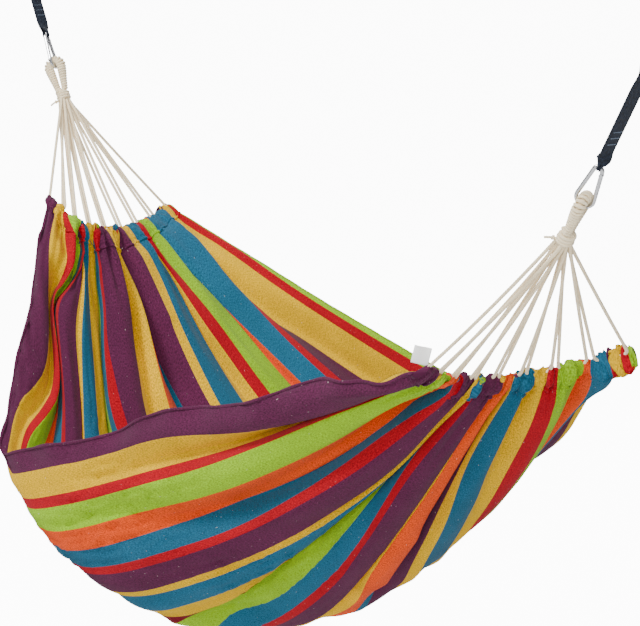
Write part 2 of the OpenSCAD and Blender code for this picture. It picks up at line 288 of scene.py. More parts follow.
# %% Heathered cotton cloth
def make_cloth_finish():
    """Dyed stripes, broken up by flecks, with the weave as bumps."""
    f = Finish("striped_cotton_weave")
    dye = f.node("ShaderNodeAttribute")
    dye.attribute_name = "stripe_colour"
    threads = f.uv((1.0, 0.45, 1.0))
    fleck = f.ramp(f.noise(threads, 520, 4),
                   (0.28, grey(0.46)), (0.50, grey(1.0)), (0.72, grey(1.55)))
    shade = f.ramp(f.noise(f.uv((1, 1, 1)), 9, 3), (0.3, grey(0.9)), (0.7, grey(1.08)))
    colour = f.mix("MULTIPLY", 1.0, dye.outputs["Color"], fleck)
    colour = f.mix("MULTIPLY", 1.0, colour, shade)
    nep = f.ramp(f.noise(f.uv((1.0, 0.4, 1.0)), 260, 1), (0.75, grey(0.0)), (0.79, grey(1.0)))
    colour = f.mix("MIX", f.math("MULTIPLY", nep, 0.35), colour, (0.80, 0.74, 0.66, 1))
    f.join(colour, f.shader.inputs["Base Color"])
    weft = f.wave(f.uv((1, 1, 1)), 95, "Y")
    warp = f.wave(f.uv((1, 1, 1)), 110, "X")
    weave = f.math("ADD", f.math("MULTIPLY", weft, 0.6), f.math("MULTIPLY", warp, 0.4))
    rough = f.math("MULTIPLY", f.noise(threads, 420, 2), 1.2)
    f.bump(f.math("ADD", weave, rough), 0.0007, 0.8)
    f.set(Roughness=0.92, Sheen_Weight=0.06, Sheen_Roughness=0.5, Specular_IOR_Level=0.08)
    return f.material


striped_cotton = make_cloth_finish()
print("made", striped_cotton.name)


# %% [markdown]
# Cord and whipping are undyed cotton. They are cream, a little browner here and there, and waves along
# the diagonal stand for the fine yarns in each strand.

# %% Cotton cord
def make_cord_finish(name, light, dark):
    """Undyed cotton between two tones, with fine yarns as bumps."""
    f = Finish(name)
    along = f.uv((1, 1, 1))
    tone = f.ramp(f.noise(f.uv((1, 0.2, 1)), 300, 3), (0.25, dark), (0.6, light))
    soft = f.ramp(f.noise(along, 18, 2), (0.3, grey(0.90)), (0.7, grey(1.05)))
    f.join(f.mix("MULTIPLY", 1.0, tone, soft), f.shader.inputs["Base Color"])
    yarn = f.wave(f.uv((1, 1, 1)), 180, "DIAGONAL")
    f.bump(f.math("ADD", yarn, f.math("MULTIPLY", f.noise(along, 900, 2), 0.8)), 0.0005, 0.8)
    f.set(Roughness=0.95, Sheen_Weight=0.3, Sheen_Roughness=0.5, Specular_IOR_Level=0.12)
    return f.material


cotton_cord = make_cord_finish("twisted_cotton", (1.0, 0.85, 0.58, 1), (0.84, 0.66, 0.40, 1))
whipping_cotton = make_cord_finish("whipping_cotton", (1.0, 0.87, 0.61, 1), (0.86, 0.69, 0.44, 1))
print("made", cotton_cord.name, whipping_cotton.name)


# %% [markdown]
# The straps are a near-black polyester webbing with slanting ribs. The hooks are zinc-plated steel:
# metal, bright, and never quite even, so noise changes their colour and roughness a little. Thread and
# label tape are plain weaves.

# %% Webbing, steel, thread and tape
def make_webbing_finish():
    """Dark woven strap: fine slanting ribs over rows, in yarn of two dark blues."""
    f = Finish("dark_webbing")
    ribs = f.wave(f.uv((1, 1, 1)), 150, "DIAGONAL")
    rows = f.wave(f.uv((1, 1, 1)), 110, "Y")
    tone = f.ramp(f.noise(f.uv((1, 0.5, 1)), 350, 3),
                  (0.3, (0.002, 0.003, 0.007, 1)), (0.7, (0.016, 0.027, 0.052, 1)))
    f.join(f.mix("MULTIPLY", 0.5, tone, ribs), f.shader.inputs["Base Color"])
    f.bump(f.math("ADD", ribs, f.math("MULTIPLY", rows, 0.7)), 0.0006, 0.9)
    f.set(Roughness=0.6, Sheen_Weight=0.04, Specular_IOR_Level=0.2)
    return f.material


def make_steel_finish(name, colour, roughness):
    """Plated steel rod: bright, with faint drawing marks and a few duller patches."""
    f = Finish(name)
    place = f.tree.nodes.new("ShaderNodeTexCoord").outputs["Object"]
    darker = tuple(0.82 * c for c in colour[:3]) + (1,)
    f.join(f.ramp(f.noise(place, 160, 4), (0.3, darker), (0.7, colour)), f.shader.inputs["Base Color"])
    dull = f.ramp(f.noise(place, 320, 3), (0.3, grey(roughness)), (0.8, grey(roughness + 0.16)))
    f.join(dull, f.shader.inputs["Roughness"])
    f.bump(f.noise(place, 1400, 2), 0.00008, 0.5)
    f.set(Metallic=1.0)
    return f.material


def make_plain_weave(name, light, dark, scale):
    """A fine plain cloth or thread between two tones."""
    f = Finish(name)
    place = f.tree.nodes.new("ShaderNodeTexCoord").outputs["Object"]
    f.join(f.ramp(f.noise(place, scale, 3), (0.3, dark), (0.7, light)), f.shader.inputs["Base Color"])
    f.bump(f.noise(place, scale * 2, 2), 0.0003, 0.6)
    f.set(Roughness=0.85, Sheen_Weight=0.15)
    return f.material


webbing = make_webbing_finish()
steel = make_steel_finish("zinc_plated_steel", (0.60, 0.61, 0.63, 1), 0.15)
spring_steel = make_steel_finish("spring_steel", (0.55, 0.56, 0.57, 1), 0.35)
thread = make_plain_weave("sewing_thread", (0.20, 0.26, 0.36, 1), (0.10, 0.14, 0.20, 1), 900)
label_tape = make_plain_weave("label_tape", (1.0, 1.0, 0.98, 1), (0.93, 0.93, 0.91, 1), 700)
print("made", webbing.name, steel.name, spring_steel.name, thread.name, label_tape.name)

# %% [markdown]
# ## Sweeping a section along a path
#
# Cords, whipping and the eye's core are all one idea: a section carried along a line. Doing it in mesh
# code keeps two things that a bevelled curve loses: the section can turn as it goes, which is what makes
# a twisted cord look twisted, and each face gets a UV place in metres along and round it.


# %% Line helpers
def run_along(line):
    """The distance of each point along the line."""
    return np.concatenate([[0], np.cumsum(norm(np.diff(line, axis=0), axis=1))])


def sampled(at, run, line):
    """The places on the line at the distances at, where its own points lie at run."""
    return np.stack([np.interp(at, run, line[:, k]) for k in range(3)], 1)


def spaced(points, count):
    """The same line with count points, evenly apart, rounded by a Catmull-Rom curve."""
    points = np.asarray(points, float)
    padded = np.vstack([2 * points[0] - points[1], points, 2 * points[-1] - points[-2]])
    t = np.linspace(0, 1, 12, endpoint=False)[:, None]
    fine = []
    for i in range(len(points) - 1):
        a, b, c, d = padded[i:i + 4]
        fine.append(0.5 * (2 * b + (c - a) * t + (2 * a - 5 * b + 4 * c - d) * t**2
                           + (3 * b - 3 * c + d - a) * t**3))
    fine = np.vstack(fine + [points[-1:]])
    run = run_along(fine)
    return sampled(np.linspace(0, run[-1], count), run, fine)


def frames(line, up):
    """Two directions square to the line at each point, carried along it without twisting."""
    heading = np.gradient(line, axis=0)
    heading /= norm(heading, axis=1)[:, None]
    first = np.cross(heading[0], up)
    normals = [first / norm(first)]
    for h in heading[1:]:
        n = normals[-1] - (normals[-1] @ h) * h
        normals.append(n / norm(n))
    normals = np.array(normals)
    return normals, np.cross(heading, normals)


print("line helpers")


# %% Mesh helpers
def add_mesh(name, points, faces, uvs, material):
    """One mesh object at the origin, smooth, with a UV place for each face corner."""
    mesh = bpy.data.meshes.new(name)
    mesh.from_pydata([tuple(p) for p in points], [], faces)
    layer = mesh.uv_layers.new(name="UVMap")
    layer.data.foreach_set("uv", np.asarray(uvs, np.float32).ravel())
    mesh.polygons.foreach_set("use_smooth", [True] * len(mesh.polygons))
    mesh.materials.append(material)
    obj = bpy.data.objects.new(name, mesh)
    bpy.context.scene.collection.objects.link(obj)
    return obj


def tube_faces(rings, sides, run, around, closed=False):
    """Faces of a tube with a UV place, (around, run), at each corner. Open tubes get their two ends."""
    faces, uvs = [], []
    for i in range(rings if closed else rings - 1):
        j = (i + 1) % rings
        for k in range(sides):
            m = (k + 1) % sides
            faces.append((i * sides + k, i * sides + m, j * sides + m, j * sides + k))
            uvs += [(around[k], run[i]), (around[k + 1], run[i]),
                    (around[k + 1], run[i + 1]), (around[k], run[i + 1])]
    if not closed:
        last = (rings - 1) * sides
        faces += [tuple(range(sides - 1, -1, -1)), tuple(last + k for k in range(sides))]
        uvs += [(0, 0)] * (2 * sides)
    return faces, uvs


def sweep(name, line, section, material):
    """Carries section(distance, angle), a radius in metres, along the line and closes its ends."""
    n, b = frames(line, np.array([0.3, 0.9, 0.2]))
    run = run_along(line)
    sides = section.sides
    angle = np.linspace(0, TAU, sides, endpoint=False)
    radius = section(run[:, None], angle[None, :])
    ring = (line[:, None] + radius[..., None] * (np.cos(angle)[None, :, None] * n[:, None]
                                                 + np.sin(angle)[None, :, None] * b[:, None]))
    girth = TAU * float(radius.mean())
    faces, uvs = tube_faces(len(line), sides, run, [girth * k / sides for k in range(sides + 1)])
    return add_mesh(name, ring.reshape(-1, 3), faces, uvs, material)


class Strands:
    """The section of a cord laid up from a few strands, turning once in every pitch metres."""

    def __init__(self, radius, strands, pitch, depth, sides):
        self.radius, self.strands, self.pitch = radius, strands, pitch
        self.depth, self.sides = depth, sides

    def __call__(self, run, angle):
        phase = self.strands * (angle - TAU * run / self.pitch) / 2
        return self.radius * (1 - self.depth + self.depth * np.abs(np.cos(phase)))


print("mesh helpers")

# %% [markdown]
# ## The cloth's hanging shape
#
# One formula gives any point of the cloth from u, the share of the way from the left hem to the right,
# and v, the share from the near edge to the far edge. The two hems are curves, the middle of the cloth
# is a deep curve between them, and each lengthwise thread hangs from hem to hem through it.

# %% Cloth formula
LEFT_HEM = np.array([[-720, -200, -170], [-490, -180, -290], [-995, 255, -280]]) / 1000
RIGHT_HEM = np.array([[780, -115, -275], [610, 80, -390], [870, 300, -270]]) / 1000
MIDDLE = np.array([[-290, -490, -670], [215, -505, -1095], [240, 245, -1110], [125, 465, -540]]) / 1000
NEAR_POWER, LOW_POWER, FAR_POWER = 0.8, 1.25, 1.15
NEAR_SKEW, FAR_SKEW = 0.17, -0.07
TURN_ROUND = 0.12


def bend2(p, t):
    """A curve with one handle, p[1], between its ends."""
    return (1 - t)**2 * p[0] + 2 * t * (1 - t) * p[1] + t**2 * p[2]


def bend3(p, t):
    """A curve with two handles between its ends."""
    return ((1 - t)**3 * p[0] + 3 * t * (1 - t)**2 * p[1] + 3 * t**2 * (1 - t) * p[2] + t**3 * p[3])


def cloth(u, v):
    """Points of the hanging cloth, in the row frame."""
    u, v = np.asarray(u, float)[..., None], np.asarray(v, float)[..., None]
    left, right, low = bend2(LEFT_HEM, v), bend2(RIGHT_HEM, v), bend3(MIDDLE, v)
    power = bend2((NEAR_POWER, 2 * LOW_POWER - (NEAR_POWER + FAR_POWER) / 2, FAR_POWER), v)
    t = 2 * (u + (NEAR_SKEW * (1 - v) + FAR_SKEW * v**3) * u * (1 - u)) - 1
    share = (np.sqrt(t * t + TURN_ROUND**2) - TURN_ROUND) / (math.sqrt(1 + TURN_ROUND**2) - TURN_ROUND)
    return left * (1 - u) + right * u + (1 - share**power) * (low - (left + right) / 2) + hang


def outward(u, v):
    """The cloth's direction away from the hollow that a person lies in."""
    along = cloth(u + 0.004, v) - cloth(u - 0.004, v)
    aside = cloth(u, np.clip(v + 0.006, 0, 1)) - cloth(u, np.clip(v - 0.006, 0, 1))
    n = np.cross(aside, along)
    return n / norm(n, axis=-1)[..., None]


grid_u, grid_v = np.meshgrid(np.linspace(0, 1, 80), np.linspace(0, 1, 60))
print("lowest point", round(float(cloth(grid_u, grid_v)[..., 2].min()), 3))

# %% [markdown]
# ## The striped cloth
#
# The cloth is woven 1.5 m wide in thirty-two lengthwise stripes, then gathered on the two hems to less
# than half of that. Where it is gathered, whole groups of stripes turn under and the rest show. So the
# sheet is laid out in its own threads: each column of faces belongs to one stripe, and tables say how
# far across the hem each stripe's edge has come. Cloth can't shrink, so the width that doesn't show is
# put into the depth of the folds. Making it this way keeps every stripe whole and the area right.

# %% Stripes
CUT_WIDTH, LONG = 1.5, 2.0
PURPLE, YELLOW, RED, GREEN = (78, 29, 58), (214, 168, 0), (164, 6, 26), (132, 176, 22)
ORANGE, BLUE, DARK_RED = (210, 70, 16), (30, 86, 112), (110, 6, 26)
STRIPES = [
    (PURPLE, 47), (YELLOW, 60), (RED, 25), (GREEN, 58), (ORANGE, 50), (BLUE, 47), (RED, 20), (PURPLE, 59),
    (YELLOW, 17), (BLUE, 55), (YELLOW, 49), (DARK_RED, 22), (GREEN, 63), (BLUE, 48), (RED, 25),
    (PURPLE, 62), (YELLOW, 65), (ORANGE, 52), (BLUE, 18), (PURPLE, 48), (YELLOW, 20), (BLUE, 64),
    (YELLOW, 45), (RED, 31), (GREEN, 66), (ORANGE, 40), (BLUE, 64), (RED, 22), (PURPLE, 50),
    (YELLOW, 80), (RED, 27), (GREEN, 15)]


def dye(colour):
    """A dye given in everyday 0 to 255 steps, as the renderer's linear colour."""
    return [((c / 255 + 0.055) / 1.055)**2.4 if c > 10 else c / 3294 for c in colour] + [1.0]


widths = np.array([w for _, w in STRIPES], float)
widths /= widths.sum()
edges_b = np.concatenate([[0], np.cumsum(widths)])
print("stripes", len(STRIPES), "cut width", CUT_WIDTH)

# %% [markdown]
# Each table below gives the v of the stripes' edges at one place along the cloth, from the near side to
# the far side. Stripes that are turned under there have edges that all but meet.

# %% Where each stripe's edge lies at a few places along the cloth
left_corner = [0, .09, .125, .19, .296, .2965, .297, .2975, .298, .2985, .337, .412, .4125, .413, .4135,
               .414, .502, .566, .5665, .567, .6226, .6643, .7498, .7503, .7665, .8207, .8212, .9333, .934,
               .936, .9896, .998, 1]
near_left_hem = [0, .06, .24, .28, .30, .3005, .301, .302, .3025, .303] + left_corner[10:]
left_tenth = [0, .085, .098, .101, .108, .122, .1235, .137, .234, .268, .3223, .3725, .373, .3735, .374,
              .3745, .4725, .5413, .578, .5788, .6309, .6505, .7206, .7406, .7706, .8305, .8311, .8907,
              .9010, .902, .9708, .9937, 1]
left_fifth = [0, .133, .174, .197, .1975, .198, .1985, .2, .260, .262, .31, .345, .346, .347, .3495, .3828,
              .4433, .5142, .5663, .583, .6289, .6489, .706, .7435, .7698, .8228, .8382, .8812, .8978,
              .9216, .9741, .9896, 1]
past_middle = [0, .03, .072, .09, .13, .17, .207, .224, .272, .287, .333, .374, .38, .433, .46]
right_third = [0, .043, .09, .11, .165, .203, .245, .26, .316, .33, .377, .379, .381, .427, .468, .479,
               .529, .535, .59, .597, .625, .64, .70]
right_tenth = [0, .110, .112, .115, .203, .275, .276, .30, .395, .413, .4138, .4146, .4154, .4162, .417,
               .433, .523, .53, .59, .591, .592, .595, .65, .72, .765, .84, .88, .93, .936, .944, .972,
               .990, 1]


def spread_evenly(u, known):
    """The known stripe edges, then the rest spaced by the cloth's own breadth at u."""
    v = np.linspace(known[-1], 1, 200)
    breadth = run_along(cloth(u + 0 * v, v))
    rest = edges_b[len(known) - 1:]
    share = (rest - rest[0]) / (rest[-1] - rest[0])
    return np.concatenate([known[:-1], np.interp(share * breadth[-1], breadth, v)])


layout = {0.0: left_corner, 0.055: near_left_hem, 0.1: left_tenth, 0.2: left_fifth,
          0.34: spread_evenly(0.34, [0]), 0.48: spread_evenly(0.48, [0]),
          0.6: spread_evenly(0.6, past_middle), 0.7: spread_evenly(0.7, right_third),
          0.88: right_tenth, 1.0: right_tenth}
layout_u = np.array(list(layout))
layout_v = np.array([np.asarray(row, float) for row in layout.values()])


def stripe_edges(u):
    """The 33 stripe edges at each u, eased between the layouts."""
    total = 0
    for shift in np.linspace(-0.035, 0.035, 9):
        at = np.clip(u + shift, 0, 1)
        total = total + np.stack([np.interp(at, layout_u, layout_v[:, k]) for k in range(33)], 1)
    return total / 9


print("layouts at", list(layout))

# %% Threads of the grid
ROWS, COLUMNS = 206, 236
per_stripe = np.maximum(2, np.round(widths * COLUMNS)).astype(int)
while per_stripe.sum() > COLUMNS:
    per_stripe[per_stripe.argmax()] -= 1
COLUMNS = int(per_stripe.sum())
column_stripe = np.repeat(np.arange(32), per_stripe)
column_b = np.concatenate([edges_b[k] + widths[k] * np.arange(n) / n
                           for k, n in enumerate(per_stripe)] + [[1.0]])
# Rows lie a little closer near the hems. Both ends stop inside the channels
step = np.linspace(0, 1, ROWS)
row_u = 0.012 + 0.976 * (0.5 - 0.5 * np.cos(math.pi * step)) * 0.35 + 0.976 * 0.65 * step


def across_at(u):
    """v for every column at each u."""
    edges = stripe_edges(u)
    return np.stack([np.interp(column_b, edges_b, row) for row in edges])


print("columns", len(column_b) - 1, "rows", ROWS - 1)

# %% [markdown]
# The folds. Each group of stripes that turns under makes one deep valley whose walls are as long as the
# width that is hidden there. Between valleys the cloth stands up in a soft round ridge. Finer gathers
# start at the hem's stitching and die out in the first few centimetres, and long shallow wrinkles run
# with the warp because that is the way the cloth is pulled.

# %% Folds
# The first and last stripe of each group that turns under
VALLEYS = [(1, 2), (3, 6), (8, 8), (9, 14), (16, 16), (17, 20), (22, 22), (25, 25), (27, 30)]
# The hidden folds tuck away from this place, which is in front, to the right and a little above
FOLD_FROM = np.array([6.05, -2.68, 0.545])
FOLD_WALL = 0.046
rng = np.random.default_rng(7)
ripple = [(rng.uniform(0.022, 0.11), rng.uniform(0.45, 1.2), rng.uniform(0, 6.28), rng.uniform(-1, 1))
          for _ in range(22)]
crease = [(rng.uniform(0.020, 0.038), rng.uniform(0.06, 0.16), rng.uniform(0, 6.28), rng.uniform(-1, 1))
          for _ in range(12)]


def ease(x):
    """0 up to 1 with level ends."""
    x = np.clip(x, 0, 1)
    return x * x * (3 - 2 * x)


def metres_from_hem(u):
    """Along the cloth from the nearer hem, for each row."""
    return np.minimum(u, 1 - u)[:, None] * LONG


def fold_depth(u, v, flat_points):
    """Depth of the folds at each grid point, away from the side that shows."""
    cut = CUT_WIDTH * np.diff(column_b)[None]
    shown = norm(np.diff(flat_points, axis=1), axis=2)
    hidden = cut * np.sqrt(np.clip(1 - (shown / cut)**2, 0, 1)) * (shown < cut)
    depth = np.zeros(v.shape)
    ridge = np.zeros(v.shape)
    centres = []
    for first, last in VALLEYS:
        where = np.flatnonzero((column_stripe >= first) & (column_stripe <= last))
        run = np.concatenate([np.zeros((len(u), 1)), np.cumsum(hidden[:, where], axis=1)], 1)
        whole = run[:, -1:]
        wall = np.minimum(run, whole - run)
        depth[:, where[0]:where[-1] + 2] = wall * (FOLD_WALL / np.maximum(whole / 2, FOLD_WALL))
        centres.append((where[0] + where[-1] + 1) / 2)
    stops = np.array([0] + centres + [COLUMNS])
    j = np.arange(len(column_b))
    gathered = np.clip(1 - shown.sum(1) / CUT_WIDTH, 0, 0.6)[:, None]
    for a, b in zip(stops[:-1], stops[1:]):
        inside = (j >= a) & (j <= b)
        start, end = v[:, inside][:, :1], v[:, inside][:, -1:]
        part = (v[:, inside] - start) / np.maximum(end - start, 1e-6)
        reach = shown[:, inside[:-1]].sum(1)[:, None]
        ridge[:, inside] = 0.30 * np.minimum(reach, 0.12) * np.sin(math.pi * np.clip(part, 0, 1))
    from_hem = metres_from_hem(u)
    opened = 0.3 + 0.7 * ease(from_hem / 0.12)
    return depth * opened - ridge * 1.6 * gathered * ease(from_hem / 0.10 + 0.25)


def crisp(phase):
    """Round-topped gathers with sharp valleys between them."""
    return 2 * np.abs(np.sin(phase / 2))**0.7 - 1


def wrinkles(u, v, b):
    """Fine gathers at the hems and long shallow ripples along the warp."""
    from_hem = metres_from_hem(u)
    side = np.where(u < 0.5, 0.0, 2.1)[:, None]
    breadth = np.where(u < 0.5, 0.66, 0.50)[:, None] * v
    u = u[:, None]
    gather = crisp(TAU * breadth / 0.0190 + 2.4 * np.sin(breadth * 61 + side) + side)
    height = 0.0058 * gather * np.exp(-((from_hem - 0.02) / 0.075)**2)
    swell = np.sin(TAU * breadth / 0.038 + 1.5 * np.sin(breadth * 23) + side * 3 + 5 * u)
    height = height + 0.0042 * swell * np.exp(-((from_hem - 0.05) / 0.16)**2)
    across_m = b[None] * CUT_WIDTH
    near_hem = 0.35 + 0.9 * np.exp(-from_hem / 0.35)
    for wave_b, wave_a, phase, lean in ripple:
        weave_about = 2 * np.sin(u * 2 / wave_a * 6.28)
        height = height + wave_b * 0.013 * near_hem * np.sin(
            TAU * (across_m / wave_b + lean * u / wave_a) + phase + weave_about)
    slack = ease((0.62 - v) / 0.2) * ease((u - 0.12) / 0.15) * ease((0.9 - u) / 0.2)
    patches = ease(0.5 + 0.9 * np.sin(17 * u + 5 * across_m) * np.sin(11 * across_m - 6 * u))
    for wave_b, wave_a, phase, lean in crease:
        count = across_m / wave_b + 1.2 * lean * u * 2 / wave_b + 0.3 * np.sin(u / wave_a)
        height = height + 0.00075 * slack * patches * np.sin(TAU * count + phase)
    return height


print("valleys", len(VALLEYS), "ripples", len(ripple), "creases", len(crease))


# %% [markdown]
# The right hem's far corner is slack, so it drops and hangs straight down. The free near side is not
# pulled tight, so it waves. Then everything is added to the plain hanging shape, along its normal.

# %% Finished shape of the cloth
def limp(v):
    """How far the slack far corner of the right hem has dropped: 0 none, 1 fully."""
    return ease((v - 0.86) / 0.07)


def drop_corner(down, v):
    """The hem's own downward direction, turned to hang straight down in the slack corner."""
    hanging = (1 - 0.75 * limp(v))[..., None] * down + limp(v)[..., None] * np.array([0.15, 0.1, -1.0])
    return hanging / norm(hanging, axis=-1)[..., None]


def edge_wave(u):
    """The near side's waves, in and out."""
    slow = np.sin(TAU * u / 0.155 + 1.5 * np.sin(9 * u))
    return 0.010 * slow + 0.004 * np.sin(TAU * u / 0.052)


def shaped(u):
    """Every grid point of the finished cloth at the given rows."""
    v = across_at(u)
    uu = u[:, None] + 0 * v
    flat_points = cloth(uu, v)
    normal = outward(np.clip(uu, 0.005, 0.995), v)
    towards = FOLD_FROM - flat_points
    facing = np.einsum("ijk,ijk->ij", normal, towards / norm(towards, axis=2)[..., None])
    lift = -np.tanh(facing * 5) * fold_depth(u, v, flat_points) + wrinkles(u, v, column_b)
    lift = lift + edge_wave(u)[:, None] * np.exp(-v / 0.03)
    hem = cloth(1 + 0 * uu, v)
    down = cloth(0.982 + 0 * uu, v) - hem
    down /= norm(down, axis=2)[..., None]
    corner = (drop_corner(down, v) - down) * 0.040 * ease((uu - 0.88) / 0.09)[..., None]
    aside = cloth(uu, np.minimum(v + 0.01, 1)) - cloth(uu, np.maximum(v - 0.01, 0))
    aside /= norm(aside, axis=2)[..., None]
    inside = np.clip(np.minimum(uu, 1 - uu) / 0.04, 0, 1)
    sway = 0.009 * np.sin(TAU * uu / 0.19 + 1.2) * np.exp(-v / 0.05) * inside
    return flat_points + lift[..., None] * normal + corner + sway[..., None] * aside, normal


cloth_points, cloth_normals = shaped(row_u)
spans = norm(np.diff(cloth_points, axis=1), axis=2).sum(1)
warp = norm(np.diff(cloth_points, axis=0), axis=2).sum(0)
print("breadth hem, middle, hem", spans[0].round(3), spans[ROWS // 2].round(3), spans[-1].round(3))
print("warp", warp.min().round(3), warp.max().round(3))


# %% [markdown]
# Real cloth has two faces and an edge. The grid of points is given a thickness along its own normals,
# and a rim joins the faces. Each face carries its stripe's dye, so the stripes run true through every
# fold. The UV map is the flat cloth in metres, so the weave follows the threads.

# %% Sheet of two faces
def grid_normals(points):
    """The surface's direction at each point of a grid."""
    along = np.gradient(points, axis=0)
    aside = np.gradient(points, axis=1)
    n = np.cross(aside, along)
    return n / np.maximum(norm(n, axis=2), 1e-9)[..., None]


def paint(obj, colours):
    """One dye for each face, kept on the face corners."""
    attribute = obj.data.color_attributes.new("stripe_colour", "FLOAT_COLOR", "CORNER")
    flat = np.concatenate([np.tile(c, p.loop_total) for c, p in zip(colours, obj.data.polygons)])
    attribute.data.foreach_set("color", flat.astype(np.float32))


def thick_sheet(name, points, thickness, material, x_metres, y_metres):
    """A grid of points as a sheet with two faces and a rim."""
    rows, columns = points.shape[:2]
    half = grid_normals(points) * thickness / 2
    both = np.concatenate([(points + half).reshape(-1, 3), (points - half).reshape(-1, 3)])
    size = rows * columns
    faces, uvs, owner = [], [], []
    for i in range(rows - 1):
        for j in range(columns - 1):
            a, d = i * columns + j, (i + 1) * columns + j
            b, c = a + 1, d + 1
            place = [(x_metres[j], y_metres[i]), (x_metres[j + 1], y_metres[i]),
                     (x_metres[j + 1], y_metres[i + 1]), (x_metres[j], y_metres[i + 1])]
            faces.append((a, b, c, d))
            uvs += place
            faces.append((a + size, d + size, c + size, b + size))
            uvs += [place[0], place[3], place[2], place[1]]
            owner += [j, j]
    rim = ([(0, j) for j in range(columns)] + [(i, columns - 1) for i in range(1, rows)]
           + [(rows - 1, j) for j in range(columns - 2, -1, -1)]
           + [(i, 0) for i in range(rows - 2, 0, -1)])
    for (i, j), (k, m) in zip(rim, rim[1:] + rim[:1]):
        a, b = i * columns + j, k * columns + m
        faces.append((b, a, a + size, b + size))
        uvs += [(x_metres[m], y_metres[k]), (x_metres[j], y_metres[i])] * 2
        owner.append(min(j, m, columns - 2))
    return add_mesh(name, both, faces, uvs, material), owner


bed, owner = thick_sheet("striped_bed", cloth_points, 0.0011, striped_cotton,
                         column_b * CUT_WIDTH, row_u * LONG)
tints = [dye(np.clip(np.array(c) * rng.uniform(0.93, 1.05), 0, 255)) for c, _ in STRIPES]
paint(bed, [tints[column_stripe[j]] for j in owner])
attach(bed, "hammock")
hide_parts("bed_cloth")
print("bed faces", len(bed.data.polygons))

# %% [markdown]
# ## Hems
#
# Each end of the cloth is folded over the cords and stitched down, so it makes a channel about 50 mm
# deep. It is puffed out where it goes round the cord, pinched at the stitching, and notched where each
# cord comes out. The stripes run on through it. It is one closed section carried across the hem.

# %% Hem channel
LOOPS = 8
SECTION = [(.0415, .0022), (.038, .0040), (.0345, .0014), (.031, .0030), (.024, .0062), (.015, .0082),
           (.006, .0088), (-.002, .0080), (-.007, .0056), (-.0095, .0018)]


CORD_TO_CLOTH, FINE = 0.024, 4


def make_hem(side):
    """The channel, carried across the hem with FINE steps to each column of the cloth."""
    base_u, end = (0.0, 0) if side == LEFT else (1.0, -1)
    columns = np.arange(COLUMNS + 1)
    steps = np.arange(0, COLUMNS + 1e-9, 1 / FINE)
    v = np.interp(steps, columns, across_at(np.array([base_u]))[0])
    top = cloth(base_u + 0 * v, v)
    order = slice(0, 8) if side == LEFT else slice(-1, -9, -1)
    rows = np.stack([sampled(steps, columns, row) for row in cloth_points[order]])
    normal = grid_normals(cloth_points)[end]
    normal = sampled(steps, columns, normal * np.sign((normal * cloth_normals[end]).sum(1))[:, None])
    normal /= norm(normal, axis=1)[:, None]
    row_gaps = norm(np.diff(rows, axis=0), axis=2).mean(1)
    depth_of_rows = np.concatenate([[0], np.cumsum(row_gaps)]) + CORD_TO_CLOTH

    def middle_at(t):
        """The channel's own middle, t metres in from the cord, which runs into the cloth's first rows."""
        upper = top + (rows[0] - top) * np.clip(t / CORD_TO_CLOTH, -1, 1)[:, None]
        k = np.clip(np.searchsorted(depth_of_rows, t) - 1, 0, 6)
        part = np.clip((t - depth_of_rows[k]) / (depth_of_rows[k + 1] - depth_of_rows[k]), 0, 1)[:, None]
        at = np.arange(len(t))
        lower = rows[k, at] * (1 - part) + rows[k + 1, at] * part
        return np.where((t < CORD_TO_CLOTH)[:, None], upper, lower)

    breadth = run_along(top)
    gather = crisp(TAU * breadth / 0.0150 + 2.2 * np.sin(breadth * 70 + side))
    slow = np.sin(TAU * breadth / 0.046 + 2 * np.sin(breadth * 31 + side)) \
        + 0.5 * np.sin(TAU * breadth / 0.021 + side)
    small = np.sin(TAU * breadth / 0.0052 + 2 * np.sin(breadth * 133 + side))
    from_cord = np.mod(v * LOOPS + 0.5, 1) - 0.5
    notch = np.exp(-(from_cord * breadth[-1] / LOOPS / 0.0065)**2)
    notch[(v < 0.05) | (v > 0.95)] *= 0.5
    section = SECTION + [(t, -n) for t, n in SECTION[::-1]]
    rings = []
    for t, n in section:
        ridge = (0.0016 * gather + 0.0016 * slow) * np.clip((t - 0.005) / 0.012, 0, 1) * (t < 0.03)
        lift = 0.0030 * slow * (t / 0.05) + (0.0016 * gather - 0.0014 * slow) * (t < 0)
        t_here = np.maximum(t + lift, -0.0125 + notch * 0.011) + 0.0008 * small
        n_here = n * (1 - 0.45 * notch) * np.maximum(1 + 0.25 * gather + 0.35 * slow, 0.66)
        rings.append(middle_at(t_here) + (n_here + (ridge + 0.0006 * small))[:, None] * normal)
    points = np.stack(rings, 1)
    around = run_along(np.array(section + section[:1]))
    flat_x = np.interp(steps, columns, column_b) * CUT_WIDTH
    faces, uvs = tube_faces(len(v), len(section), flat_x, around)
    uvs = [(x, y) for y, x in uvs]
    stripe = np.repeat(column_stripe[(np.arange(len(v) - 1) // FINE)], len(section)).tolist() + [0, 31]
    hem = add_mesh(SIDES[side] + "_hem_channel", points.reshape(-1, 3), faces, uvs, striped_cotton)
    paint(hem, [tints[k] for k in stripe])
    return hem


hems = {}
for side in (LEFT, RIGHT):
    hems[side] = make_hem(side)
    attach(hems[side], "hammock")
    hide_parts(SIDES[side] + "_end_hem")
    print(hems[side].name, len(hems[side].data.polygons))


# %% [markdown]
# ## Side edges and label
#
# The long sides of the cloth are turned over and stitched. A thin two-lobed roll along the last thread,
# which turns slowly as it goes, gives the edge its weight. The near one is thicker than the far one.

# %% Side edges
def make_edge(name, column, radius):
    """The turned-over side of the cloth: a roll along its last thread."""
    line = spaced(cloth_points[::2, column], 420)
    edge = sweep(name, line, Strands(radius, 2, 0.19, 0.30, 10), striped_cotton)
    paint(edge, [tints[column_stripe[min(column, COLUMNS - 1)]]] * len(edge.data.polygons))
    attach(edge, "hammock")
    return edge


